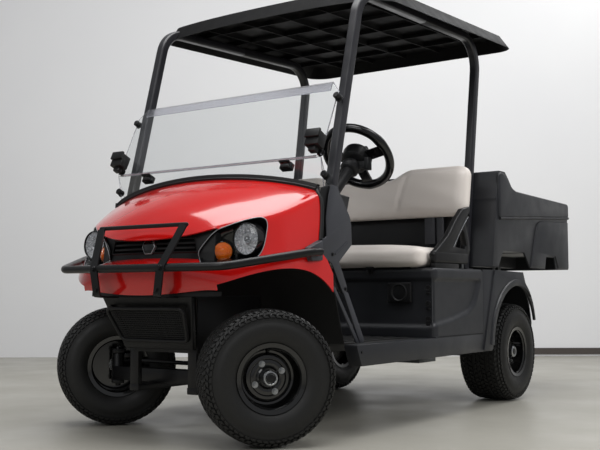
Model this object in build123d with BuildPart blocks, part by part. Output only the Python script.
from build123d import *

# An open two-seat utility vehicle with a tilting cargo bed, a canopy and a brush guard.
# +X is forward, +Y is the driver's left and +Z is up. The origin is on the ground, under
# the middle of the vehicle. The front wheels are stored steered to the right, as parked.
# Lengths are in millimetres.

import os
from math import cos, radians, sin

# Driving dimensions of the whole vehicle
wheelbase = 1690.0
front_overhang = 304.0
rear_overhang = 654.0
front_pivot_half = 345.0
pivot_to_wheel = 90.0
rear_track_half = 490.0
steer_rest = 40.0
body_half_width = 600.0
floor_top = 326.0
deck_top = 611.0

# Clearances, overruns and sheet thicknesses
cut_over = 20.0
running_gap = 0.05
seat_gap = 0.3
side_gap = 1.0
panel_wall = 5.0
plate_wall = 6.0

front_axle_x = (wheelbase + rear_overhang - front_overhang) / 2
rear_axle_x = front_axle_x - wheelbase

# Wheels and tyres
tyre_radius = 229.0
tyre_half_width = 107.0
tyre_wall = 12.0
tread_drop = 7.0
tread_half = 84.0
sidewall_radius = 172.0
bead_half = 92.0
bead_land = 18.0
rim_seat_radius = 101.6
rim_flange_radius = 117.5
rim_wall = 4.0
disc_face = 42.0
disc_step_radius = 76.0
disc_step = 12.0
hub_radius = 30.0
hub_inner_end = 22.0
hub_outer_end = 82.0
hub_bore_radius = 14.0
stud_circle_radius = 50.8
stud_radius = 6.0
stud_length = 14.0
stud_count = 4

# Ladder frame
rail_half_gap = 120.0
rail_width = 40.0
rail_height = 60.0
front_rail_top = 360.0
front_rail_end = 120.0
rail_drop_start = 250.0
rail_drop_end = 330.0
rear_rail_top = 460.0
rear_rail_half_gap = 280.0
kick_start = 390.0
kick_end = 290.0
rear_rail_end = 440.0
hanger_length = 20.0
hanger_inset = 15.0
spring_width = 45.0
spring_thickness = 23.0
front_spring_back = 240.0
rear_spring_reach = 270.0
hinge_axis_back = 420.0
hinge_axis_z = 606.0
hinge_pin_radius = 8.0
hinge_lug_reach = 18.0
bed_post_forward = 190.0
bed_post_top = 640.0

# Front axle, kingpins and knuckles
beam_half_depth = 25.0
beam_height = 50.0
beam_bottom = 180.0
boss_radius = 20.0
boss_height = 100.0
kingpin_radius = 10.0
kingpin_overhang = 25.0
ear_gap = 1.0
ear_thickness = 14.0
ear_half = 22.0
upright_inner = 28.0
upright_outer = 48.0
arm_length = 60.0
arm_back = 72.0
arm_eye_half = 12.0
arm_thickness = 14.0
arm_bottom = 262.0
tie_pin_radius = 6.0
tie_rod_radius = 8.0
tie_rod_z = 250.0

# Body shells
cowl_bottom = 500.0
cowl_height = 465.0
cowl_half_width = 538.0
cowl_length = 472.0
cowl_rear = 210.0
nose_floor_lap = 20.0
arch_radius = 300.0
front_arch_forward = 31.0
front_arch_z = 293.0
lamp_forward = 103.0
lamp_half_gap = 369.0
lamp_z = 693.0
lamp_radius = 56.0
signal_radius = 33.0
signal_offset = 96.0
rear_arch_z = 255.0
rear_arch_radius = 285.0
seat_box_front = 830.0
seat_box_rear = 1423.0
fender_inner = 365.0

# Supports and canopy
strut_half = 19.0
strut_wall = 3.0
strut_y = 501.0
rear_strut_y = 486.0
canopy_half_width = 585.0
canopy_front = 470.0
canopy_rear = 1735.0
canopy_height = 62.0
canopy_front_z = 1645.0
canopy_rear_z = 1690.0

# Cargo bed
bed_front = 1372.0
bed_rear = wheelbase + rear_overhang
bed_half_width = 610.0
bed_bottom = 627.0
bed_floor = 705.0
bed_wall = 8.0
bed_lip = 12.0
bed_bulge_top = 1068.0
tailgate_wall = 22.0

# Rear axle, drive block, battery block and hitch
rear_axle_tube_radius = 30.0
spring_seat_half = 35.0
drum_radius = 80.0
drum_inset = 60.0
drum_gap = 7.0
drive_half_length = 90.0
drive_half_width = 110.0
drive_bottom = 160.0
drive_top = 330.0
battery_half_width = 250.0
battery_inset = 50.0
battery_height = 230.0
hitch_size = 60.0
hitch_bore = 50.0
hitch_reach = 60.0
hitch_pin_radius = 8.0
hinge_lug_half = 10.0

# Floor pan and inner fenders
toe_back = 240.0
toe_mid_z = 600.0
toe_top_back = 225.0
dash_bottom = 730.0
toe_half_width = 480.0
fender_back = 240.0

# Cowl edges, mouth, bezels, lamps and trim
trim_end_back = 167.0
trim_centre_back = 105.0
trim_half = 513.0
trim_end_z = 882.0
trim_centre_z = 950.0
trim_radius = 12.0
mouth_top_half = 214.0
mouth_low_half = 228.0
mouth_top = 713.0
mouth_bottom = 631.0
mouth_back = 140.0
mouth_depth = 50.0
mouth_slat_count = 3
mouth_slat_depth = 25.0
bezel_run_shares = (0.303, -0.835, -0.459)
bezel_face_shares = (0.92, 0.26, 0.14)
bezel_rim = 10.0
bezel_cut = 110.0
bezel_depth = 30.0
lamp_depth = 60.0
lens_rise = 8.0
lens_taper = 20.0

# Grille panel and insert
grille_top_forward = 212.0
grille_low_forward = 142.0
grille_bottom = 311.0
grille_top_half = 217.0
grille_low_half = 165.0
grille_border = 34.0
grille_depth = 20.0
grille_recess = 14.0
grille_bar_count = 9
grille_bar_height = 4.0
grille_bar_depth = 6.0

# Brush guard
guard_radius = 14.0
guard_bend_radius = 60.0
guard_z = 596.0
guard_end_back = 70.0
guard_end_half = 556.0
guard_end_z = 651.0
guard_bend_forward = 215.0
guard_bend_half = 485.0
guard_corner_forward = 265.0
guard_corner_half = 363.0
guard_forward = 290.0
guard_front_half = 143.0
guard_bar_half = 165.0
guard_bar_width = 34.0
guard_bar_bottom = cowl_bottom - plate_wall
guard_bar_forward = front_overhang
guard_foot_back = 214.0
guard_top_forward = 228.0
guard_top_z = 748.0
guard_cross_radius = 7.0

# Side plates, sills and dash
plate_back = 330.0
plate_length = 168.0
plate_height = 567.0
foot_length = 70.0
foot_height = 40.0
tab_height = 44.0
sill_width = 55.0
sill_inner = body_half_width - sill_width
sill_top = 326.0
sill_bottom = 250.0
sill_front = 232.0
sill_bevel = 30.0
sill_rear = 1284.0
sill_wall = 5.0
dash_front = 215.0
dash_rear = 385.0
dash_height = 230.0
dash_half_width = 478.0
dash_shoulder = 868.0
dash_crown = 945.0

# Steering wheel, column and pedals
wheel_centre_back = 728.0
wheel_centre_y = 300.0
wheel_centre_z = 1075.0
wheel_radius = 170.0
wheel_grip_radius = 13.0
wheel_spoke_count = 3
wheel_spoke_turn = 90.0
wheel_spoke_width = 46.0
wheel_spoke_thickness = 8.0
wheel_spoke_drop = 6.0
wheel_hub_radius = 50.0
wheel_hub_height = 30.0
column_angle = 48.0
column_length = 560.0
column_reach = 45.0
column_radius = 24.0
column_bore_depth = 30.0
column_pin_radius = 8.0
pedal_spread = 130.0
pedal_back = 400.0
pedal_lean = 25.0
pedal_z = 440.0
pedal_height = 90.0
pedal_width = 60.0
pedal_arm_radius = 8.0

# Windscreen
pane_wall = 5.0
pane_half_width = 506.0
pane_low_back = 196.0
pane_low_z = 880.0
pane_fold_back = 150.0
pane_fold_z = 996.0
pane_top_back = 287.0
pane_top_z = 1288.0
pane_chamfer = 36.0
pane_chamfer_drop = 40.0
clamp_half_gap = 488.0
clamp_width = 30.0
clamp_depth = 45.0
clamp_drop = 12.0
clamp_rise = 72.0
clip_half_gap = 347.0
clip_width = 30.0
clip_z = 970.0
clip_height = 28.0
clip_depth = 22.0
low_knob_z = 925.0
top_knob_z = 1223.0
knob_radius = 14.0
knob_reach = 25.0

# Supports
strut_foot_back = 223.0
strut_foot_z = 909.0
strut_upper_back = 306.0
strut_upper_z = 1222.0
strut_base_back = 236.0
strut_base_z = dash_bottom
strut_bend_back = 424.0
strut_meet_back = 950.0
strut_bend_radius = 130.0
strut_corner = 9.0
rear_strut_foot_back = 1335.0
rear_strut_top_back = 1504.0
rear_foot_half = 32.0
canopy_corner = 90.0
canopy_taper = 35.0
canopy_rib_depth = 20.0
canopy_rib_inset = 43.0
canopy_cross_ribs = 6
canopy_long_ribs = 6
canopy_notch_length = 60.0
canopy_notch_half = 20.0

# Rear body and hip restraints
fender_rear = 1945.0
fender_taper = 40.0
rear_arch_forward = 25.0
hip_front = 844.0
hip_rear = 1195.0
hip_height = 266.0
hip_inset = 10.0
hip_width = 30.0
hip_outer = body_half_width - hip_inset
hip_inner = hip_outer - hip_width

# Seat
seat_front = 800.0
seat_rear = 1180.0
seat_half_width = 505.0
seat_top = 701.0
seat_fillet = 22.0
seat_hinge_forward = 12.0
seat_hinge_half_gap = 300.0
seat_hinge_height = 22.0
seat_hinge_radius = 7.0
seat_hinge_pin = 4.0
hinge_barrel_half = 10.0
seat_lug_wall = 5.0
board_wall = 12.0
board_inset = 20.0
back_low_back = 1185.0
back_bottom = 757.0
back_top_back = 1235.0
back_top = 1066.0
back_thickness = 80.0
back_top_thickness = 65.0
back_fillet = 20.0
back_panel_bottom = 735.0
back_panel_inset = 20.0
back_panel_half = 460.0
back_post_half_gap = 330.0
back_post_width = 50.0

# Bed lip and tailgate
bed_rail_seam = 919.0
bed_lip_height = 20.0
tailgate_floor_gap = 12.0
tailgate_side_gap = 5.0
tailgate_top = 955.0
tailgate_pin_radius = 5.0


def at(forward):
    """Gives the X of a place that lies this far ahead of the front axle."""
    return front_axle_x + forward


def spots(shares, corner, size):
    """Turns a table of shares into points, from a corner and over a size."""
    return [(corner[0] + along * size[0], corner[1] + up * size[1]) for along, up in shares]


def block(x_from, x_to, y_from, y_to, z_from, z_to, mode=Mode.ADD):
    """Puts a box between these limits into the part that is open."""
    with Locations(((x_from + x_to) / 2, (y_from + y_to) / 2, (z_from + z_to) / 2)):
        Box(x_to - x_from, y_to - y_from, z_to - z_from, mode=mode)


def slab(points, y_from, y_to, mode=Mode.ADD):
    """Extrudes a side outline, given as (x, z) points, from one Y to another."""
    with BuildSketch(Plane.XZ.offset(-y_from)) as side:
        Polygon(*points, align=None)
    extrude(side.sketch, amount=y_from - y_to, mode=mode)


def pipe(points, bend, radius, wall):
    """Sweeps a round tube along straight runs that are joined by bends."""
    with BuildLine() as route:
        FilletPolyline(*points, radius=bend)
    with BuildSketch(Plane(origin=route.line @ 0, z_dir=route.line % 0)) as section:
        Circle(radius)
        if wall:
            Circle(radius - wall, mode=Mode.SUBTRACT)
    sweep(section.sketch, path=route.line)


def rod(start, end, radius, mode=Mode.ADD):
    """Puts a round bar between two points into the part that is open."""
    span = Vector(*end) - Vector(*start)
    with BuildSketch(Plane(origin=start, z_dir=span)) as section:
        Circle(radius)
    extrude(section.sketch, amount=span.length, mode=mode)


def write(part, name):
    """Labels a finished piece and writes its STEP file."""
    part.label = name
    export_step(part, f"parts/{name}.step")


os.makedirs("parts", exist_ok=True)

# Each wheel's pivot X, pivot Y and outward direction
rest_sin = sin(radians(steer_rest))
rest_cos = cos(radians(steer_rest))
rear_pivot_half = rear_track_half - pivot_to_wheel
wheels = {
    "front_left": (front_axle_x, front_pivot_half, (rest_sin, rest_cos)),
    "front_right": (front_axle_x, -front_pivot_half, (-rest_sin, -rest_cos)),
    "rear_left": (rear_axle_x, rear_pivot_half, (0, 1)),
    "rear_right": (rear_axle_x, -rear_pivot_half, (0, -1)),
}


def wheel_point(wheel, outward):
    """Gives the point on a wheel's axis that lies this far outside its pivot."""
    pivot_x, pivot_y, side = wheels[wheel]
    return (pivot_x + outward * side[0], pivot_y + outward * side[1], tyre_radius)


def wheel_section(wheel):
    """Gives the plane of a wheel's section: local X points outward and local Y up."""
    side = wheels[wheel][2]
    centre = wheel_point(wheel, pivot_to_wheel)
    return Plane(origin=centre, x_dir=(*side, 0), z_dir=(side[1], -side[0], 0))


def wheel_axis(wheel):
    """Gives the axis that a wheel turns about, pointing outward."""
    return Axis(wheel_point(wheel, pivot_to_wheel), (*wheels[wheel][2], 0))


# Tyre section, as (outward, radius) points from a bead to the crown
bead_radius = rim_seat_radius + running_gap
tyre_outside = [
    (bead_half, bead_radius), (bead_half, rim_flange_radius), (tyre_half_width, sidewall_radius),
    (tread_half, tyre_radius - tread_drop), (0, tyre_radius),
]
tyre_inside = [
    (bead_half - bead_land, bead_radius), (tyre_half_width - tyre_wall, sidewall_radius),
    (tread_half - tyre_wall, tyre_radius - tread_drop - tyre_wall), (0, tyre_radius - tyre_wall),
]
tyre_loop = tyre_outside + [(-x, r) for x, r in tyre_outside[-2::-1]]
tyre_loop += [(-x, r) for x, r in tyre_inside] + tyre_inside[-2::-1]

# Rim section, as outlines that join: the barrel, two flanges and a stepped disc
rim_inside = rim_seat_radius - rim_wall
flange_half = bead_half + rim_wall
disc_outer = disc_face - disc_step
rim_barrel = [
    (-flange_half, rim_seat_radius), (flange_half, rim_seat_radius),
    (flange_half, rim_inside), (-flange_half, rim_inside),
]
rim_flange = [
    (bead_half, rim_flange_radius), (flange_half, rim_flange_radius),
    (flange_half, rim_inside), (bead_half, rim_inside),
]
rim_disc = [
    (disc_outer, rim_inside), (disc_outer, disc_step_radius), (disc_face, disc_step_radius),
    (disc_face, hub_radius), (disc_face - rim_wall, hub_radius),
    (disc_face - rim_wall, disc_step_radius - rim_wall),
    (disc_outer - rim_wall, disc_step_radius - rim_wall), (disc_outer - rim_wall, rim_inside),
]
hub_bore = hub_bore_radius + running_gap
rim_hub = [
    (hub_inner_end, hub_bore), (hub_inner_end, hub_radius),
    (hub_outer_end, hub_radius), (hub_outer_end, hub_bore),
]

for wheel in wheels:
    with BuildPart() as tyre:
        with BuildSketch(wheel_section(wheel)):
            Polygon(*tyre_loop, align=None)
        revolve(axis=wheel_axis(wheel))
    write(tyre.part, f"tyre_{wheel}")

    with BuildPart() as rim:
        with BuildSketch(wheel_section(wheel)):
            for ring in (rim_barrel, rim_flange, [(-x, r) for x, r in rim_flange], rim_disc, rim_hub):
                Polygon(*ring, align=None)
        revolve(axis=wheel_axis(wheel))
        stud_plane = Plane(
            origin=wheel_point(wheel, pivot_to_wheel + disc_face), z_dir=(*wheels[wheel][2], 0)
        )
        with BuildSketch(stud_plane):
            with PolarLocations(stud_circle_radius, stud_count):
                Circle(stud_radius)
        extrude(amount=stud_length)
    write(rim.part, f"rim_{wheel}")

# Frame: two rails that drop behind the axle and kick up wide over the rear axle
main_bottom = floor_top - panel_wall - rail_height
main_top = floor_top - panel_wall
front_bottom = front_rail_top - rail_height
rear_bottom = rear_rail_top - rail_height
cross_front = rear_axle_x + kick_start + rail_height
cross_rear = rear_axle_x + kick_start
rail_back = rear_axle_x - rear_rail_end
main_rail = [
    (at(front_rail_end), front_rail_top), (at(-rail_drop_start), front_rail_top),
    (at(-rail_drop_end), main_top), (cross_rear, main_top), (cross_rear, main_bottom),
    (at(-rail_drop_end), main_bottom), (at(-rail_drop_start), front_bottom),
    (at(front_rail_end), front_bottom),
]
rear_rail = [
    (cross_front, main_top), (cross_rear, main_top), (rear_axle_x + kick_end, rear_rail_top),
    (rail_back, rear_rail_top), (rail_back, rear_bottom), (rear_axle_x + kick_end, rear_bottom),
    (cross_rear, main_bottom), (cross_front, main_bottom),
]
rail_mid = rail_half_gap + rail_width / 2
rear_rail_mid = rear_rail_half_gap + rail_width / 2
front_spring_top = beam_bottom
rear_pad_half = spring_width / 2
rear_spring_bottom = tyre_radius + rear_axle_tube_radius
rear_spring_top = rear_spring_bottom + spring_thickness
hinge_x = rear_axle_x - hinge_axis_back
post_x = rear_axle_x + bed_post_forward
with BuildPart() as frame:
    for side in (1, -1):
        inner_y = side * rail_half_gap
        outer_y = side * (rail_half_gap + rail_width)
        slab(main_rail, inner_y, outer_y)
        rear_inner_y = side * rear_rail_half_gap
        rear_outer_y = side * (rear_rail_half_gap + rail_width)
        slab(rear_rail, rear_inner_y, rear_outer_y)
        for hanger_x in (at(front_rail_end - hanger_length), at(-front_spring_back)):
            block(hanger_x, hanger_x + hanger_length, min(inner_y, outer_y), max(inner_y, outer_y),
                  front_spring_top, front_bottom + hanger_inset)
        for hanger_x in (rear_axle_x - rear_spring_reach, rear_axle_x + rear_spring_reach - hanger_length):
            block(hanger_x, hanger_x + hanger_length, min(rear_inner_y, rear_outer_y),
                  max(rear_inner_y, rear_outer_y), rear_spring_top, rear_bottom)
        block(post_x - rail_width / 2, post_x + rail_width / 2, min(rear_inner_y, rear_outer_y),
              max(rear_inner_y, rear_outer_y), rear_rail_top, bed_post_top - seat_gap)
        lug_from = side * rear_rail_mid - hinge_lug_half
        lug_to = side * rear_rail_mid + hinge_lug_half
        block(hinge_x - hinge_lug_reach, hinge_x + hinge_lug_reach, lug_from, lug_to,
              rear_rail_top, hinge_axis_z)
        rod((hinge_x, lug_from, hinge_axis_z), (hinge_x, lug_to, hinge_axis_z), hinge_lug_reach)
        rod((hinge_x, side * rear_rail_half_gap, hinge_axis_z),
            (hinge_x, side * (rear_rail_half_gap + rail_width), hinge_axis_z), hinge_pin_radius)
    rear_outer = rear_rail_half_gap + rail_width
    block(cross_rear, cross_front, -rear_outer, rear_outer, main_bottom, main_top)
    block(rail_back, rail_back + rail_width, -rear_outer, rear_outer, rear_bottom, rear_rail_top)
    block(at(front_rail_end - rail_width), at(front_rail_end), -rail_half_gap, rail_half_gap,
          front_bottom, front_rail_top)
    block(post_x - rail_width / 2, post_x + rail_width / 2, -rear_rail_half_gap, rear_rail_half_gap,
          rear_bottom, rear_rail_top)
write(frame.part, "frame")

# Front axle beam, with a boss for each kingpin
with BuildPart() as front_axle:
    block(at(-beam_half_depth), at(beam_half_depth), -front_pivot_half, front_pivot_half,
          beam_bottom, beam_bottom + beam_height)
    for side in (1, -1):
        foot = (front_axle_x, side * front_pivot_half, beam_bottom)
        head = (front_axle_x, side * front_pivot_half, beam_bottom + boss_height)
        rod(foot, head, boss_radius)
        rod(foot, head, kingpin_radius + running_gap, mode=Mode.SUBTRACT)
        rod((front_axle_x, side * front_pivot_half, beam_bottom - kingpin_overhang),
            (front_axle_x, side * front_pivot_half, beam_bottom + boss_height + kingpin_overhang),
            kingpin_radius)
write(front_axle.part, "front_axle")

with BuildPart() as front_springs:
    for side in (1, -1):
        block(at(-front_spring_back), at(front_rail_end),
              side * rail_mid - spring_width / 2, side * rail_mid + spring_width / 2,
              beam_bottom - spring_thickness, beam_bottom)
write(front_springs.part, "front_springs")

# Knuckles: two ears on the kingpin, an upright with the spindle, and an arm for the tie rod
lower_ear_top = beam_bottom - ear_gap
upper_ear_bottom = beam_bottom + boss_height + ear_gap
spindle_end = pivot_to_wheel + hub_outer_end + rim_wall / 2
for name, side in (("left", 1), ("right", -1)):
    turned = Plane(
        origin=(front_axle_x, side * front_pivot_half, 0), x_dir=(rest_cos, -rest_sin, 0), z_dir=(0, 0, 1)
    )
    with BuildPart(turned) as knuckle:
        for ear_bottom in (lower_ear_top - ear_thickness, upper_ear_bottom):
            inner, outer = sorted((-side * ear_half, side * upright_outer))
            block(-ear_half, ear_half, inner, outer, ear_bottom, ear_bottom + ear_thickness)
        inner, outer = sorted((side * upright_inner, side * upright_outer))
        block(-ear_half, ear_half, inner, outer,
              lower_ear_top - ear_thickness, upper_ear_bottom + ear_thickness)
        inner, outer = sorted((-side * arm_eye_half, side * upright_outer))
        block(-arm_back, -ear_half, inner, outer, arm_bottom, arm_bottom + arm_thickness)
        with Locations((0, 0, beam_bottom + boss_height / 2)):
            Cylinder(kingpin_radius + running_gap, 2 * boss_height, mode=Mode.SUBTRACT)
        with Locations((-arm_length, 0, arm_bottom + arm_thickness / 2)):
            Cylinder(tie_pin_radius + running_gap, 2 * arm_thickness, mode=Mode.SUBTRACT)
        with Locations((0, side * (upright_outer + spindle_end) / 2, tyre_radius)):
            Cylinder(hub_bore_radius, spindle_end - upright_outer, rotation=(90, 0, 0))
    write(knuckle.part, f"knuckle_{name}")

tie_x = at(-arm_length * rest_cos)
tie_ends = [side * front_pivot_half + arm_length * rest_sin for side in (1, -1)]
with BuildPart() as tie_rod:
    rod((tie_x, tie_ends[0], tie_rod_z), (tie_x, tie_ends[1], tie_rod_z), tie_rod_radius)
    for end_y in tie_ends:
        rod((tie_x, end_y, tie_rod_z - arm_eye_half), (tie_x, end_y, arm_bottom - ear_gap), arm_eye_half)
        rod((tie_x, end_y, tie_rod_z), (tie_x, end_y, arm_bottom + arm_thickness), tie_pin_radius)
write(tie_rod.part, "tie_rod")

# Rear axle halves, with a spring seat, a drum and a spindle each, on the drive block
drum_inner = rear_track_half - drum_inset
drum_outer = rear_track_half + hub_inner_end - drum_gap
with BuildPart() as rear_axle:
    for side in (1, -1):
        centre = (rear_axle_x, tyre_radius)
        rod((centre[0], side * drive_half_width, centre[1]), (centre[0], side * drum_outer, centre[1]),
            rear_axle_tube_radius)
        rod((centre[0], side * drum_inner, centre[1]), (centre[0], side * drum_outer, centre[1]), drum_radius)
        rod((centre[0], side * drum_inner, centre[1]),
            (centre[0], side * (rear_track_half + hub_outer_end + rim_wall / 2), centre[1]), hub_bore_radius)
        block(rear_axle_x - spring_seat_half, rear_axle_x + spring_seat_half,
              side * rear_rail_mid - rear_pad_half, side * rear_rail_mid + rear_pad_half,
              tyre_radius, rear_spring_bottom)
write(rear_axle.part, "rear_axle")

with BuildPart() as rear_springs:
    for side in (1, -1):
        block(rear_axle_x - rear_spring_reach, rear_axle_x + rear_spring_reach,
              side * rear_rail_mid - spring_width / 2, side * rear_rail_mid + spring_width / 2,
              rear_spring_bottom, rear_spring_top)
write(rear_springs.part, "rear_springs")

with BuildPart() as drive_motor:
    block(rear_axle_x - drive_half_length, rear_axle_x + drive_half_length,
          -drive_half_width, drive_half_width, drive_bottom, drive_top)
write(drive_motor.part, "drive_motor")

with BuildPart() as battery_pack:
    block(cross_front, at(-seat_box_front - battery_inset), -battery_half_width, battery_half_width,
          floor_top, floor_top + battery_height)
write(battery_pack.part, "battery_pack")

with BuildPart() as hitch:
    block(rail_back - hitch_reach, rail_back + rail_width + hitch_reach, -hitch_size / 2, hitch_size / 2,
          rear_bottom - hitch_size, rear_bottom)
    block(rail_back - hitch_reach - cut_over, rail_back + rail_width, -hitch_bore / 2, hitch_bore / 2,
          rear_bottom - (hitch_size + hitch_bore) / 2, rear_bottom - (hitch_size - hitch_bore) / 2,
          mode=Mode.SUBTRACT)
    rod((rail_back - hitch_reach / 2, -hitch_size, rear_bottom - hitch_size / 2),
        (rail_back - hitch_reach / 2, hitch_size, rear_bottom - hitch_size / 2), hitch_pin_radius,
        mode=Mode.SUBTRACT)
write(hitch.part, "hitch")

# Floor pan, with the toe board that rises to the dash
with BuildPart() as floor_pan:
    block(cross_rear, at(-rail_drop_end - panel_wall), -sill_inner, sill_inner, main_top, floor_top)
    slab([(at(-rail_drop_end - panel_wall), main_top), (at(-rail_drop_end), main_top),
          (at(-toe_back), toe_mid_z), (at(-toe_top_back), dash_bottom),
          (at(-toe_top_back - panel_wall), dash_bottom), (at(-toe_back - panel_wall), toe_mid_z),
          (at(-rail_drop_end - panel_wall), floor_top)],
         -toe_half_width, toe_half_width)
write(floor_pan.part, "floor_pan")

with BuildPart() as inner_fenders:
    for side in (1, -1):
        inner_y = side * (rail_half_gap + rail_width)
        slab([(at(front_rail_end), front_bottom), (at(-rail_drop_start), front_bottom),
              (at(-fender_back), cowl_bottom), (at(front_rail_end), cowl_bottom)],
             inner_y, inner_y + side * panel_wall)
write(inner_fenders.part, "inner_fenders")

# Front cowl: columns are the share along the length, the half width at the bottom and at the
# shoulder, and the height of the shoulder and of the crown
cowl_station_shares = (
    (0.0, 1.0, 0.972, 0.791, 1.0),
    (0.40, 0.965, 0.892, 0.656, 0.877),
    (0.663, 0.836, 0.706, 0.473, 0.753),
    (0.86, 0.632, 0.342, 0.383, 0.57),
    (1.0, 0.335, 0.112, 0.215, 0.237),
)


def cowl_solid(inset, spill):
    """Lofts the cowl's volume through its stations, drawn in by an inset and spilling out behind."""
    with BuildPart() as body:
        for along, low_share, shoulder_share, rise_share, crown_share in cowl_station_shares:
            station = at(along * cowl_length - cowl_rear) - (spill if along == 0 else 0)
            station -= inset if along == 1 else 0
            low = low_share * cowl_half_width - inset
            shoulder = shoulder_share * cowl_half_width - inset
            base = cowl_bottom - spill
            rise = cowl_bottom + rise_share * cowl_height - inset
            crown = cowl_bottom + crown_share * cowl_height - inset
            with BuildSketch(Plane.YZ.offset(station)):
                with BuildLine():
                    Polyline((-shoulder, rise), (-low, base), (low, base), (shoulder, rise))
                    ThreePointArc((shoulder, rise), (0, crown), (-shoulder, rise))
                make_face()
        loft()
    return body.part


def lamp_plane(side):
    """Gives the plane of a bezel's face, with its origin at the headlamp and X to the signal."""
    origin = (at(lamp_forward), side * lamp_half_gap, lamp_z)
    x_dir = (bezel_run_shares[0], side * bezel_run_shares[1], bezel_run_shares[2])
    z_dir = (bezel_face_shares[0], side * bezel_face_shares[1], bezel_face_shares[2])
    return Plane(origin=origin, x_dir=x_dir, z_dir=z_dir)


def bezel_shape(side, margin):
    """Draws the drop shape round a headlamp and its signal, widened by a margin."""
    with BuildSketch(lamp_plane(side)) as shape:
        Circle(lamp_radius + bezel_rim + margin)
        with Locations((signal_offset, 0)):
            Circle(signal_radius + bezel_rim + margin)
        make_hull()
    return shape.sketch


mouth_outline = [
    (-mouth_top_half, mouth_top), (mouth_top_half, mouth_top),
    (mouth_low_half, mouth_bottom), (-mouth_low_half, mouth_bottom),
]
mouth_inside = [
    (-mouth_top_half + panel_wall, mouth_top - panel_wall),
    (mouth_top_half - panel_wall, mouth_top - panel_wall),
    (mouth_low_half - panel_wall, mouth_bottom + panel_wall),
    (-mouth_low_half + panel_wall, mouth_bottom + panel_wall),
]
with BuildPart() as nose_floor:
    block(at(front_rail_end - nose_floor_lap), at(front_overhang), -grille_top_half, grille_top_half,
          cowl_bottom, cowl_bottom + panel_wall)
    add(cowl_solid(0, 0), mode=Mode.INTERSECT)
with BuildPart() as front_cowl:
    add(cowl_solid(0, 0))
    add(cowl_solid(panel_wall, cut_over), mode=Mode.SUBTRACT)
    with BuildSketch(Plane.XY.offset(cowl_bottom - cut_over)):
        with BuildLine():
            ThreePointArc((at(-trim_end_back), -body_half_width), (at(-trim_centre_back), 0),
                          (at(-trim_end_back), body_half_width))
            Polyline((at(-trim_end_back), body_half_width), (at(-cowl_rear - cut_over), body_half_width),
                     (at(-cowl_rear - cut_over), -body_half_width), (at(-trim_end_back), -body_half_width))
        make_face()
    extrude(amount=cowl_height + 2 * cut_over, mode=Mode.SUBTRACT)
    rod((at(front_arch_forward), -body_half_width, front_arch_z),
        (at(front_arch_forward), body_half_width, front_arch_z), arch_radius, mode=Mode.SUBTRACT)
    with BuildSketch(Plane.YZ.offset(at(mouth_back))):
        Polygon(*mouth_outline, align=None)
    extrude(amount=front_overhang, mode=Mode.SUBTRACT)
    for side in (1, -1):
        extrude(bezel_shape(side, seat_gap), amount=bezel_cut, both=True, mode=Mode.SUBTRACT)
    add(nose_floor.part)
write(front_cowl.part, "front_cowl")

with BuildPart() as mouth_grille:
    with BuildSketch(Plane.YZ.offset(at(mouth_back))):
        Polygon(*mouth_outline, align=None)
        Polygon(*mouth_inside, align=None, mode=Mode.SUBTRACT)
    extrude(amount=mouth_depth)
    with BuildSketch(Plane.YZ.offset(at(mouth_back))):
        Polygon(*mouth_inside, align=None)
    extrude(amount=panel_wall)
    for slat in range(mouth_slat_count):
        slat_z = mouth_bottom + (slat + 1) * (mouth_top - mouth_bottom) / (mouth_slat_count + 1)
        block(at(mouth_back), at(mouth_back + mouth_slat_depth), -mouth_top_half, mouth_top_half,
              slat_z - panel_wall / 2, slat_z + panel_wall / 2)
write(mouth_grille.part, "mouth_grille")

with BuildPart() as lamp_bezels:
    for side in (1, -1):
        extrude(bezel_shape(side, 0), amount=-bezel_depth)
        plane = lamp_plane(side)
        for offset, radius in ((0, lamp_radius), (signal_offset, signal_radius)):
            with BuildSketch(plane):
                with Locations((offset, 0)):
                    Circle(radius + seat_gap)
            extrude(amount=bezel_depth, both=True, mode=Mode.SUBTRACT)
write(lamp_bezels.part, "lamp_bezels")

with BuildPart() as headlamps:
    for side in (1, -1):
        with BuildSketch(lamp_plane(side)):
            Circle(lamp_radius)
        extrude(amount=-lamp_depth)
        with BuildSketch(lamp_plane(side)):
            Circle(lamp_radius)
        extrude(amount=lens_rise, taper=lens_taper)
write(headlamps.part, "headlamps")

with BuildPart() as signal_lamps:
    for side in (1, -1):
        with BuildSketch(lamp_plane(side)):
            with Locations((signal_offset, 0)):
                Circle(signal_radius)
        extrude(amount=-lamp_depth)
        with BuildSketch(lamp_plane(side)):
            with Locations((signal_offset, 0)):
                Circle(signal_radius)
        extrude(amount=lens_rise, taper=lens_taper)
write(signal_lamps.part, "signal_lamps")

# Rubber trim along the cowl's rear edge
with BuildPart() as cowl_trim:
    with BuildLine() as trim_line:
        ThreePointArc((at(-trim_end_back), -trim_half, trim_end_z), (at(-trim_centre_back), 0, trim_centre_z),
                      (at(-trim_end_back), trim_half, trim_end_z))
    with BuildSketch(Plane(origin=trim_line.line @ 0, z_dir=trim_line.line % 0)) as trim_section:
        Circle(trim_radius)
    sweep(trim_section.sketch, path=trim_line.line)
    add(front_cowl.part, mode=Mode.SUBTRACT)
write(cowl_trim.part, "cowl_trim")

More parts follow.
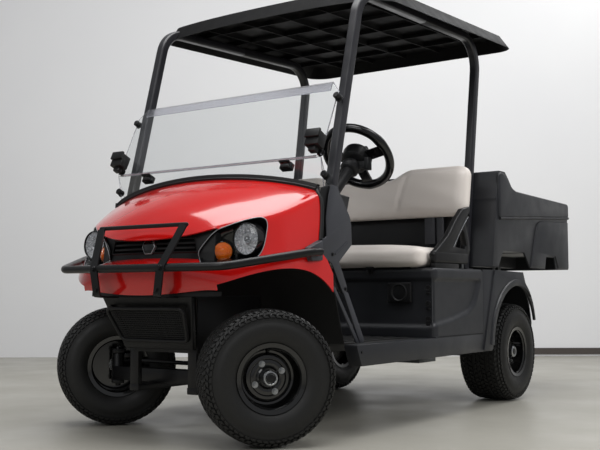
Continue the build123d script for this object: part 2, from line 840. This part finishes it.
# Black grille panel under the nose, with a window for its mesh insert
grille_lean = (grille_top_forward - grille_low_forward) / (cowl_bottom - grille_bottom)
grille_face = Plane(
    origin=(at(grille_low_forward), 0, grille_bottom), x_dir=(0, 1, 0), z_dir=(1, 0, -grille_lean)
)
grille_rise = ((grille_top_forward - grille_low_forward) ** 2 + (cowl_bottom - grille_bottom) ** 2) ** 0.5
grille_outline = [
    (-grille_low_half, 0), (grille_low_half, 0), (grille_top_half, grille_rise),
    (grille_top_half, grille_rise + grille_depth), (-grille_top_half, grille_rise + grille_depth),
    (-grille_top_half, grille_rise),
]
grille_window = [
    (-grille_low_half + grille_border, grille_border), (grille_low_half - grille_border, grille_border),
    (grille_top_half - grille_border, grille_rise - grille_border),
    (grille_border - grille_top_half, grille_rise - grille_border),
]
with BuildPart() as grille_panel:
    with BuildSketch(grille_face):
        Polygon(*grille_outline, align=None)
        Polygon(*grille_window, align=None, mode=Mode.SUBTRACT)
    extrude(amount=-grille_depth)
    block(at(grille_low_forward), at(front_overhang), -body_half_width, body_half_width,
          cowl_bottom, cowl_bottom + 2 * grille_depth, mode=Mode.SUBTRACT)
write(grille_panel.part, "grille_panel")

with BuildPart() as grille_insert:
    with BuildSketch(grille_face.offset(-grille_recess)):
        Polygon(*grille_window, align=None)
    extrude(amount=-panel_wall)
    for bar in range(grille_bar_count):
        bar_y = grille_border + (bar + 1) * (grille_rise - 2 * grille_border) / (grille_bar_count + 1)
        with BuildSketch(grille_face.offset(-grille_recess)):
            with Locations((0, bar_y)):
                Rectangle(2 * (grille_low_half - grille_border), grille_bar_height)
        extrude(amount=grille_bar_depth)
write(grille_insert.part, "grille_insert")

# Brush guard: a bent tube across the nose, two flat bars and a thin cross tube above
guard_side = [
    (at(-guard_end_back), guard_end_half, guard_end_z), (at(guard_bend_forward), guard_bend_half, guard_z),
    (at(guard_corner_forward), guard_corner_half, guard_z), (at(guard_forward), guard_front_half, guard_z),
]
guard_points = guard_side + [(x, -y, z) for x, y, z in guard_side[::-1]]
with BuildPart() as brush_guard:
    pipe(guard_points, guard_bend_radius, guard_radius, plate_wall / 2)
    for side in (1, -1):
        slab([(at(guard_foot_back), guard_bar_bottom), (at(guard_bar_forward), guard_bar_bottom),
              (at(guard_bar_forward), guard_z), (at(guard_top_forward), guard_top_z),
              (at(guard_top_forward) - plate_wall, guard_top_z),
              (at(guard_bar_forward) - plate_wall, guard_z),
              (at(guard_bar_forward) - plate_wall, guard_bar_bottom + plate_wall),
              (at(guard_foot_back), guard_bar_bottom + plate_wall)],
             side * guard_bar_half - guard_bar_width / 2, side * guard_bar_half + guard_bar_width / 2)
    rod((at(guard_top_forward), -guard_bar_half, guard_top_z - guard_cross_radius),
        (at(guard_top_forward), guard_bar_half, guard_top_z - guard_cross_radius), guard_cross_radius)
write(brush_guard.part, "brush_guard")

# Side plates behind the cowl, each with a leg, a foot to the sill and a tab to the guard
side_plate_shares = (
    (1.0, 0.975), (0.565, 1.0), (0.042, 0.829), (0.006, 0.616), (0.405, 0.483), (0.0, 0.0),
    (0.583, 0.0), (0.964, 0.413),
)
plate_outline = spots(side_plate_shares, (at(-plate_back), floor_top), (plate_length, plate_height))
plate_face = strut_y + strut_half
plate_front = at(plate_length - plate_back)
with BuildPart() as side_plates:
    for side in (1, -1):
        slab(plate_outline, side * plate_face, side * (plate_face + plate_wall))
        foot = sorted((side * plate_face, side * sill_inner))
        block(at(-plate_back), at(-plate_back + foot_length), *foot, sill_top - foot_height, sill_top)
        tab = sorted((side * (guard_end_half - plate_wall), side * guard_end_half))
        step = sorted((side * plate_face, side * guard_end_half))
        block(plate_front - tab_height, at(-guard_end_back), *tab,
              guard_end_z - tab_height / 2, guard_end_z + tab_height / 2)
        block(plate_front - tab_height, plate_front - seat_gap, *step,
              guard_end_z - tab_height / 2, guard_end_z + tab_height / 2)
    add(brush_guard.part, mode=Mode.SUBTRACT)
write(side_plates.part, "side_plates")

with BuildPart() as sills:
    for side in (1, -1):
        nose = [(at(-sill_front), sill_top), (at(-sill_front), sill_top - sill_wall * 2),
                (at(-sill_front - sill_bevel), sill_bottom), (at(-sill_rear), sill_bottom),
                (at(-sill_rear), sill_top)]
        hollow = [(at(-sill_front - sill_wall), sill_top - sill_wall),
                  (at(-sill_front - sill_bevel), sill_bottom + sill_wall),
                  (at(-sill_rear + sill_wall), sill_bottom + sill_wall),
                  (at(-sill_rear + sill_wall), sill_top - sill_wall)]
        slab(nose, side * sill_inner, side * body_half_width)
        slab(hollow, side * (sill_inner - cut_over), side * (body_half_width - sill_wall), mode=Mode.SUBTRACT)
write(sills.part, "sills")

# Dash: a shell open to the front, arched like the cowl behind it
dash_shares = ((1.0, 0.93), (0.22, 0.86), (0.0, 0.66), (0.24, 0.13), (0.5, 0.0), (1.0, 0.0))
dash_corner = (at(-dash_rear), dash_bottom)
dash_size = (dash_rear - dash_front, dash_height)


def dash_volume(inset, spill):
    """Builds the dash's volume under its arch, drawn in by an inset and open ahead by a spill."""
    points = spots(dash_shares, dash_corner, dash_size)
    middle = (dash_corner[0] + dash_size[0] / 2, dash_corner[1] + dash_size[1] / 2)
    drawn = []
    for x, z in points:
        near_front = x == at(-dash_front)
        drawn.append((x + spill if near_front else x + inset * (1 if x < middle[0] else 0),
                      z - inset if z > middle[1] else z + inset))
    with BuildPart() as volume:
        slab(drawn, inset - dash_half_width, dash_half_width - inset)
        with BuildSketch(Plane.YZ.offset(at(-dash_rear - cut_over))):
            with BuildLine():
                Polyline((-dash_half_width, dash_shoulder - inset), (-dash_half_width, 0),
                         (dash_half_width, 0), (dash_half_width, dash_shoulder - inset))
                ThreePointArc((dash_half_width, dash_shoulder - inset), (0, dash_crown - inset),
                              (-dash_half_width, dash_shoulder - inset))
            make_face()
        extrude(amount=dash_rear + cut_over, mode=Mode.INTERSECT)
    return volume.part


column_start = (at(-wheel_centre_back), wheel_centre_y, wheel_centre_z)
column_dir = (sin(radians(column_angle)), 0, -cos(radians(column_angle)))


def on_column(distance):
    """Gives the point this far down the steering column from the steering wheel's centre."""
    return tuple(start + distance * step for start, step in zip(column_start, column_dir))


with BuildPart() as dash:
    add(dash_volume(0, 0))
    add(dash_volume(panel_wall, cut_over), mode=Mode.SUBTRACT)
    rod(on_column(column_reach), on_column(column_length), column_radius + seat_gap, mode=Mode.SUBTRACT)
write(dash.part, "dash")

with BuildPart() as steering_column:
    rod(on_column(column_reach), on_column(column_length), column_radius)
    rod(on_column(column_reach - cut_over), on_column(column_reach + column_bore_depth),
        column_pin_radius + running_gap, mode=Mode.SUBTRACT)
    add(floor_pan.part, mode=Mode.SUBTRACT)
write(steering_column.part, "steering_column")

with BuildPart() as steering_wheel:
    wheel_plane = Plane(origin=column_start, x_dir=(0, 1, 0), z_dir=tuple(-step for step in column_dir))
    with BuildSketch(Plane(origin=column_start, x_dir=(0, 1, 0), z_dir=wheel_plane.y_dir)):
        with Locations((wheel_radius, 0)):
            Circle(wheel_grip_radius)
    revolve(axis=Axis(column_start, wheel_plane.z_dir))
    with BuildSketch(wheel_plane.offset(-wheel_spoke_drop)):
        with PolarLocations(0, wheel_spoke_count, start_angle=wheel_spoke_turn):
            with Locations((wheel_radius / 2, 0)):
                Rectangle(wheel_radius - wheel_grip_radius / 2, wheel_spoke_width)
    extrude(amount=wheel_spoke_thickness)
    rod(on_column(-wheel_hub_height / 2), on_column(column_reach - side_gap), wheel_hub_radius)
    rod(on_column(0), on_column(column_reach + column_bore_depth - side_gap), column_pin_radius)
write(steering_wheel.part, "steering_wheel")

with BuildPart() as pedals:
    for pedal_y in (wheel_centre_y + pedal_spread / 2, wheel_centre_y - pedal_spread / 2):
        slab([(at(-pedal_back), pedal_z - pedal_height / 2),
              (at(-pedal_back + pedal_lean), pedal_z + pedal_height / 2),
              (at(-pedal_back + pedal_lean) + plate_wall, pedal_z + pedal_height / 2),
              (at(-pedal_back) + plate_wall, pedal_z - pedal_height / 2)],
             pedal_y - pedal_width / 2, pedal_y + pedal_width / 2)
        rod((at(-pedal_back) + plate_wall, pedal_y, pedal_z), (at(-toe_back), pedal_y, pedal_z), pedal_arm_radius)
    with BuildSketch(Plane.XZ.offset(-body_half_width)):
        Polygon((at(-rail_drop_end - panel_wall), floor_top), (at(-toe_back - panel_wall), toe_mid_z),
                (at(0), toe_mid_z), (at(0), floor_top), align=None)
    extrude(amount=2 * body_half_width, mode=Mode.SUBTRACT)
write(pedals.part, "pedals")

# Supports: each side's struts bend under the canopy's ribs and meet half way along it
canopy_length = canopy_rear - canopy_front
canopy_rise = (canopy_rear_z - canopy_front_z) / canopy_length
rib_bottom = canopy_height - panel_wall - canopy_rib_depth


def canopy_rail_z(back):
    """Gives the height of a support's centre under the ribs, this far behind the front axle."""
    return canopy_front_z + (back - canopy_front) * canopy_rise + rib_bottom - strut_half - side_gap / 2


def square_tube(points, bend):
    """Sweeps a square tube with rounded corners along runs that are joined by bends."""
    with BuildLine() as route:
        FilletPolyline(*points, radius=bend)
    start = Plane(origin=route.line @ 0, x_dir=(0, 1, 0), z_dir=route.line % 0)
    with BuildSketch(start) as section:
        RectangleRounded(2 * strut_half, 2 * strut_half, strut_corner)
        RectangleRounded(2 * (strut_half - strut_wall), 2 * (strut_half - strut_wall),
                         strut_corner - strut_wall, mode=Mode.SUBTRACT)
    sweep(section.sketch, path=route.line)


meet_y = (strut_y + rear_strut_y) / 2
strut_lean = (strut_upper_back - strut_foot_back) / (strut_upper_z - strut_foot_z)
with BuildPart() as front_supports:
    top_back = strut_foot_back + strut_lean * (canopy_rail_z(strut_bend_back) - strut_foot_z)
    for side in (1, -1):
        square_tube([(at(-strut_base_back), side * strut_y, strut_base_z),
                     (at(-strut_foot_back), side * strut_y, strut_foot_z),
                     (at(-top_back), side * strut_y, canopy_rail_z(top_back)),
                     (at(-strut_meet_back), side * meet_y, canopy_rail_z(strut_meet_back))],
                    strut_bend_radius)
write(front_supports.part, "front_supports")

with BuildPart() as rear_supports:
    for side in (1, -1):
        square_tube([(at(-rear_strut_foot_back), side * rear_strut_y, deck_top + plate_wall),
                     (at(-rear_strut_top_back), side * rear_strut_y, canopy_rail_z(rear_strut_top_back)),
                     (at(-strut_meet_back) - seat_gap, side * meet_y, canopy_rail_z(strut_meet_back))],
                    strut_bend_radius)
        block(at(-rear_strut_foot_back - rear_foot_half), at(-rear_strut_foot_back + rear_foot_half),
              side * rear_strut_y - rear_foot_half, side * rear_strut_y + rear_foot_half,
              deck_top, deck_top + plate_wall)
write(rear_supports.part, "rear_supports")

# Canopy: a tray with sloping sides, hollow below, with a grid of ribs under its skin
canopy_plane = Plane(
    origin=(at(-canopy_front), 0, canopy_front_z), x_dir=(-canopy_length, 0, canopy_rear_z - canopy_front_z),
    z_dir=(canopy_rear_z - canopy_front_z, 0, canopy_length),
)
with BuildPart() as canopy:
    with BuildSketch(canopy_plane):
        with Locations((canopy_length / 2, 0)):
            RectangleRounded(canopy_length, 2 * canopy_half_width, canopy_corner)
    extrude(amount=canopy_height, taper=canopy_taper)
    with BuildSketch(canopy_plane):
        with Locations((canopy_length / 2, 0)):
            RectangleRounded(canopy_length - 2 * panel_wall, 2 * (canopy_half_width - panel_wall),
                             canopy_corner - panel_wall)
    extrude(amount=canopy_height - panel_wall, taper=canopy_taper, mode=Mode.SUBTRACT)
    with BuildSketch(canopy_plane.offset(canopy_height - panel_wall - canopy_rib_depth)):
        with Locations((canopy_length / 2, 0)):
            with GridLocations(canopy_length / canopy_cross_ribs, 0, canopy_cross_ribs - 1, 1):
                Rectangle(panel_wall, 2 * (canopy_half_width - canopy_rib_inset))
            with GridLocations(0, 2 * canopy_half_width / canopy_long_ribs, 1, canopy_long_ribs - 1):
                Rectangle(canopy_length - 2 * canopy_rib_inset, panel_wall)
    extrude(amount=canopy_rib_depth + panel_wall / 2)
    for side in (1, -1):
        block(at(-canopy_front - canopy_notch_length), at(-canopy_front) + cut_over,
              side * strut_y - canopy_notch_half, side * strut_y + canopy_notch_half,
              canopy_front_z - cut_over, canopy_front_z + rib_bottom, mode=Mode.SUBTRACT)
write(canopy.part, "canopy")

# Windscreen: a lower pane, and an upper pane that folds down in front of it
lower_pane_points = [
    (at(-pane_low_back), pane_low_z), (at(-pane_fold_back), pane_fold_z - pane_wall / 2),
    (at(-pane_fold_back) + pane_wall, pane_fold_z - pane_wall / 2), (at(-pane_low_back) + pane_wall, pane_low_z),
]
upper_pane_points = [
    (at(-pane_fold_back), pane_fold_z + pane_wall / 2), (at(-pane_top_back), pane_top_z),
    (at(-pane_top_back) + pane_wall, pane_top_z), (at(-pane_fold_back) + pane_wall, pane_fold_z + pane_wall / 2),
]
pane_outline = [
    (-pane_half_width, pane_fold_z), (pane_half_width, pane_fold_z),
    (pane_half_width, pane_top_z - pane_chamfer_drop), (pane_half_width - pane_chamfer, pane_top_z),
    (pane_chamfer - pane_half_width, pane_top_z), (-pane_half_width, pane_top_z - pane_chamfer_drop),
]
with BuildPart() as windshield_lower:
    slab(lower_pane_points, -pane_half_width, pane_half_width)
write(windshield_lower.part, "windshield_lower")

with BuildPart() as windshield_upper:
    slab(upper_pane_points, -pane_half_width, pane_half_width)
    with BuildSketch(Plane.YZ.offset(at(-pane_top_back - cut_over))):
        Polygon(*pane_outline, align=None)
    extrude(amount=pane_top_back, mode=Mode.INTERSECT)
write(windshield_upper.part, "windshield_upper")

pane_lean = (pane_top_back - pane_fold_back) / (pane_top_z - pane_fold_z)
low_lean = (pane_low_back - pane_fold_back) / (pane_fold_z - pane_low_z)
with BuildPart() as windshield_clips:
    for side in (1, -1):
        clamp_x = at(-pane_fold_back)
        block(clamp_x - clamp_depth, clamp_x + clamp_depth / 2,
              side * clamp_half_gap - clamp_width / 2, side * clamp_half_gap + clamp_width / 2,
              pane_fold_z - clamp_drop, pane_fold_z + clamp_rise)
        clip_x = at(-pane_fold_back - low_lean * (pane_fold_z - clip_z))
        block(clip_x - clip_depth / 2, clip_x + clip_depth, side * clip_half_gap - clip_width / 2,
              side * clip_half_gap + clip_width / 2, clip_z - clip_height / 2, clip_z + clip_height / 2)
        for knob_z, pane_x in (
            (low_knob_z, at(-pane_fold_back - low_lean * (pane_fold_z - low_knob_z))),
            (top_knob_z, at(-pane_fold_back - pane_lean * (top_knob_z - pane_fold_z))),
        ):
            strut_x = at(-strut_foot_back - strut_lean * (knob_z - strut_foot_z)) + strut_half
            rod((strut_x, side * strut_y, knob_z), (pane_x + knob_reach, side * strut_y, knob_z), knob_radius)
    add(windshield_lower.part, mode=Mode.SUBTRACT)
    add(windshield_upper.part, mode=Mode.SUBTRACT)
    add(cowl_trim.part, mode=Mode.SUBTRACT)
    add(front_supports.part, mode=Mode.SUBTRACT)
write(windshield_clips.part, "windshield_clips")

# Rear body: seat box and rear fenders in one moulding, open below and behind the seat box
rear_body_shares = ((0.468, 1.0), (0.175, 0.983), (0.058, 0.637), (0.0, 0.299), (0.05, 0.0))
rear_body_corner = (at(-fender_rear), sill_bottom)
rear_body_size = (fender_rear - seat_box_front, deck_top - sill_bottom)


def rear_body_volume(inset, spill):
    """Builds the rear body's volume, drawn in by an inset and spilling out below."""
    deck_end, top_end, middle, tip, low = spots(rear_body_shares, rear_body_corner, rear_body_size)
    left = tip[0]
    right = at(-seat_box_front)
    flange = at(-sill_rear) + spill
    drawn = [(right - inset, floor_top - spill), (right - inset, deck_top - inset),
             (deck_end[0], deck_top - inset), (top_end[0] + inset, top_end[1] - inset),
             (middle[0] + inset, middle[1]), (left + inset, tip[1]), (low[0] + inset, low[1] - spill),
             (flange, low[1] - spill), (flange, floor_top - spill)]
    taper_start = top_end[0]
    with BuildPart() as volume:
        slab(drawn, inset - body_half_width, body_half_width - inset)
        with BuildSketch(Plane.XY):
            Polygon((right, inset - body_half_width), (right, body_half_width - inset),
                    (taper_start, body_half_width - inset), (left, body_half_width - fender_taper - inset),
                    (left, fender_taper + inset - body_half_width), (taper_start, inset - body_half_width),
                    align=None)
        extrude(amount=2 * deck_top, mode=Mode.INTERSECT)
    return volume.part


with BuildPart() as rear_body:
    add(rear_body_volume(0, 0))
    add(rear_body_volume(panel_wall, cut_over), mode=Mode.SUBTRACT)
    rod((rear_axle_x + rear_arch_forward, -body_half_width - cut_over, rear_arch_z),
        (rear_axle_x + rear_arch_forward, body_half_width + cut_over, rear_arch_z), rear_arch_radius,
        mode=Mode.SUBTRACT)
    block(at(-fender_rear - cut_over), at(-seat_box_rear), -fender_inner, fender_inner,
          0, deck_top + cut_over, mode=Mode.SUBTRACT)
write(rear_body.part, "rear_body")

hip_outer_shares = (
    (1.0, 0.0), (1.0, 0.1), (0.98, 0.2), (0.66, 0.36), (0.26, 0.7), (0.085, 1.0), (0.0, 1.0), (0.0, 0.0),
)
hip_inner_shares = ((0.08, 0.2), (0.55, 0.2), (0.5, 0.3), (0.2, 0.58), (0.08, 0.76))
with BuildPart() as hip_restraints:
    corner = (at(-hip_rear), deck_top)
    size = (hip_rear - hip_front, hip_height)
    for side in (1, -1):
        slab(spots(hip_outer_shares, corner, size), side * hip_inner, side * hip_outer)
        slab(spots(hip_inner_shares, corner, size), side * (hip_inner - cut_over),
             side * (hip_outer + cut_over), mode=Mode.SUBTRACT)
write(hip_restraints.part, "hip_restraints")

# Seat: a base board on front hinges, its cushion, the back, and the frame behind the back
lug_offset = hinge_barrel_half + side_gap
hinge_seat_x = at(-seat_box_front) + seat_hinge_forward
with BuildPart() as seat_hinges:
    for side in (1, -1):
        hinge_y = side * seat_hinge_half_gap
        block(at(-seat_box_front), hinge_seat_x, hinge_y - hinge_barrel_half, hinge_y + hinge_barrel_half,
              deck_top - seat_hinge_height, deck_top)
        rod((hinge_seat_x, hinge_y - hinge_barrel_half, deck_top),
            (hinge_seat_x, hinge_y + hinge_barrel_half, deck_top), seat_hinge_radius)
        rod((hinge_seat_x, hinge_y - hinge_barrel_half - seat_lug_wall - 2 * side_gap, deck_top),
            (hinge_seat_x, hinge_y + hinge_barrel_half + seat_lug_wall + 2 * side_gap, deck_top),
            seat_hinge_pin)
    block(at(-seat_box_front) - cut_over, at(-seat_box_front), -body_half_width, body_half_width,
          0, deck_top + cut_over, mode=Mode.SUBTRACT)
write(seat_hinges.part, "seat_hinges")

board_bottom = deck_top + side_gap
board_top = board_bottom + board_wall
with BuildPart() as seat_base:
    block(at(-seat_rear + board_inset), at(-seat_box_front), -seat_half_width + board_inset,
          seat_half_width - board_inset, board_bottom, board_top)
    for side in (1, -1):
        for lug_side in (1, -1):
            near = side * seat_hinge_half_gap + lug_side * lug_offset
            far = near + lug_side * seat_lug_wall
            rod((hinge_seat_x, near, deck_top), (hinge_seat_x, far, deck_top), seat_hinge_radius)
            block(at(-seat_box_front), hinge_seat_x, *sorted((near, far)), board_bottom,
                  deck_top + seat_hinge_radius)
        rod((hinge_seat_x, side * seat_hinge_half_gap - body_half_width / 4, deck_top),
            (hinge_seat_x, side * seat_hinge_half_gap + body_half_width / 4, deck_top),
            seat_hinge_pin + running_gap, mode=Mode.SUBTRACT)
write(seat_base.part, "seat_base")

with BuildPart() as seat_bottom:
    block(at(-seat_rear), at(-seat_front), -seat_half_width, seat_half_width,
          board_top + seat_gap, seat_top)
    fillet(seat_bottom.edges().filter_by(Axis.Z), seat_fillet)
    fillet(seat_bottom.faces().sort_by(Axis.Z)[-1].edges(), seat_fillet)
write(seat_bottom.part, "seat_bottom")

with BuildPart() as seat_back:
    slab([(at(-back_low_back), back_bottom), (at(-back_top_back), back_top),
          (at(-back_top_back - back_top_thickness), back_top), (at(-back_low_back - back_thickness), back_bottom)],
         -seat_half_width, seat_half_width)
    fillet(seat_back.edges().group_by(Axis.Y)[0] + seat_back.edges().group_by(Axis.Y)[-1], back_fillet)
write(seat_back.part, "seat_back")

rear_lean = (back_top_back + back_top_thickness - back_low_back - back_thickness) / (back_top - back_bottom)


def back_frame_x(height):
    """Gives the X of the seat back's rear face at a height."""
    return at(-back_low_back - back_thickness - rear_lean * (height - back_bottom)) - seat_gap


def back_strap(z_from, z_to, y_from, y_to):
    """Adds a plate that lies against the seat back's rear face."""
    slab([(back_frame_x(z_from), z_from), (back_frame_x(z_to), z_to),
          (back_frame_x(z_to) - plate_wall, z_to), (back_frame_x(z_from) - plate_wall, z_from)], y_from, y_to)


with BuildPart() as seat_back_frame:
    back_strap(back_panel_bottom, back_top - back_panel_inset, -back_panel_half, back_panel_half)
    for side in (1, -1):
        back_strap(deck_top, back_top - back_panel_inset, side * back_post_half_gap - back_post_width / 2,
                   side * back_post_half_gap + back_post_width / 2)
write(seat_back_frame.part, "seat_back_frame")

# Cargo bed: one moulding with a raised front, notched skirts, a lip, a floor and two beams
bed_length = bed_rear - bed_front
bed_height = bed_bulge_top - bed_bottom
bed_side_shares = (
    (1.0, 0.0), (0.919, 0.98), (0.91, 1.0), (0.842, 1.0), (0.8, 0.93), (0.736, 0.798), (0.022, 0.782),
    (0.0, 0.755), (0.0, 0.0), (0.189, 0.0), (0.209, 0.136), (0.324, 0.136), (0.344, 0.0), (0.544, 0.0),
    (0.619, 0.166), (0.877, 0.166), (0.93, 0.0),
)
bed_corner = (at(-bed_rear), bed_bottom)
bed_size = (bed_length, bed_height)
front_lean = bed_length * (1.0 - bed_side_shares[1][0]) / (bed_height * bed_side_shares[1][1])


def bed_front_x(height):
    """Gives the X of the bed's front wall at a height."""
    return at(-bed_front) - front_lean * (height - bed_bottom)


hinge_outer = hinge_lug_half + side_gap
tailgate_x = at(-bed_rear) + tailgate_wall / 2
tailgate_axis_z = bed_floor + tailgate_wall / 2 + tailgate_floor_gap
tail_inner = at(-bed_rear) + tailgate_wall
bed_inner_half = bed_half_width - bed_wall
with BuildPart() as cargo_bed:
    slab(spots(bed_side_shares, bed_corner, bed_size), -bed_half_width, bed_half_width)
    slab([(bed_front_x(bed_floor) - bed_wall, bed_floor),
          (bed_front_x(bed_bulge_top + cut_over) - bed_wall, bed_bulge_top + cut_over),
          (at(-bed_rear - cut_over), bed_bulge_top + cut_over), (at(-bed_rear - cut_over), bed_floor)],
         -bed_inner_half, bed_inner_half, mode=Mode.SUBTRACT)
    slab([(bed_front_x(bed_bottom - cut_over) - bed_wall, bed_bottom - cut_over),
          (bed_front_x(bed_floor - bed_wall) - bed_wall, bed_floor - bed_wall),
          (at(-bed_rear) + bed_wall, bed_floor - bed_wall), (at(-bed_rear) + bed_wall, bed_bottom - cut_over)],
         -bed_inner_half, bed_inner_half, mode=Mode.SUBTRACT)
    block(at(-bed_rear - cut_over), tail_inner + bed_wall, -bed_inner_half, bed_inner_half,
          bed_floor - bed_wall / 4, bed_floor + cut_over, mode=Mode.SUBTRACT)
    for side in (1, -1):
        lip = sorted((side * bed_half_width, side * (bed_half_width + bed_lip)))
        block(at(-bed_rear), bed_front_x(bed_rail_seam), *lip, bed_rail_seam, bed_rail_seam + bed_lip_height)
        block(at(-bed_rear) + bed_wall, bed_front_x(bed_post_top) - 2 * bed_wall,
              side * rear_rail_mid - rail_width / 2, side * rear_rail_mid + rail_width / 2,
              bed_post_top, bed_floor - bed_wall / 2)
        for lug_side in (1, -1):
            near = side * rear_rail_mid + lug_side * hinge_outer
            far = side * rear_rail_mid + lug_side * rail_width / 2
            rod((hinge_x, near, hinge_axis_z), (hinge_x, far, hinge_axis_z), hinge_lug_reach)
            block(hinge_x - hinge_lug_reach, hinge_x + hinge_lug_reach, *sorted((near, far)),
                  hinge_axis_z, bed_post_top)
        rod((hinge_x, side * rear_rail_mid - rail_width, hinge_axis_z),
            (hinge_x, side * rear_rail_mid + rail_width, hinge_axis_z),
            hinge_pin_radius + running_gap, mode=Mode.SUBTRACT)
    rod((tailgate_x, -bed_half_width - cut_over, tailgate_axis_z),
        (tailgate_x, bed_half_width + cut_over, tailgate_axis_z),
        tailgate_pin_radius + running_gap, mode=Mode.SUBTRACT)
write(cargo_bed.part, "cargo_bed")

tailgate_half = bed_inner_half - tailgate_side_gap
with BuildPart() as tailgate:
    block(at(-bed_rear), tail_inner, -tailgate_half, tailgate_half,
          tailgate_axis_z - tailgate_wall / 2, tailgate_top)
    rod((tailgate_x, -bed_half_width, tailgate_axis_z), (tailgate_x, bed_half_width, tailgate_axis_z),
        tailgate_pin_radius)
write(tailgate.part, "tailgate")
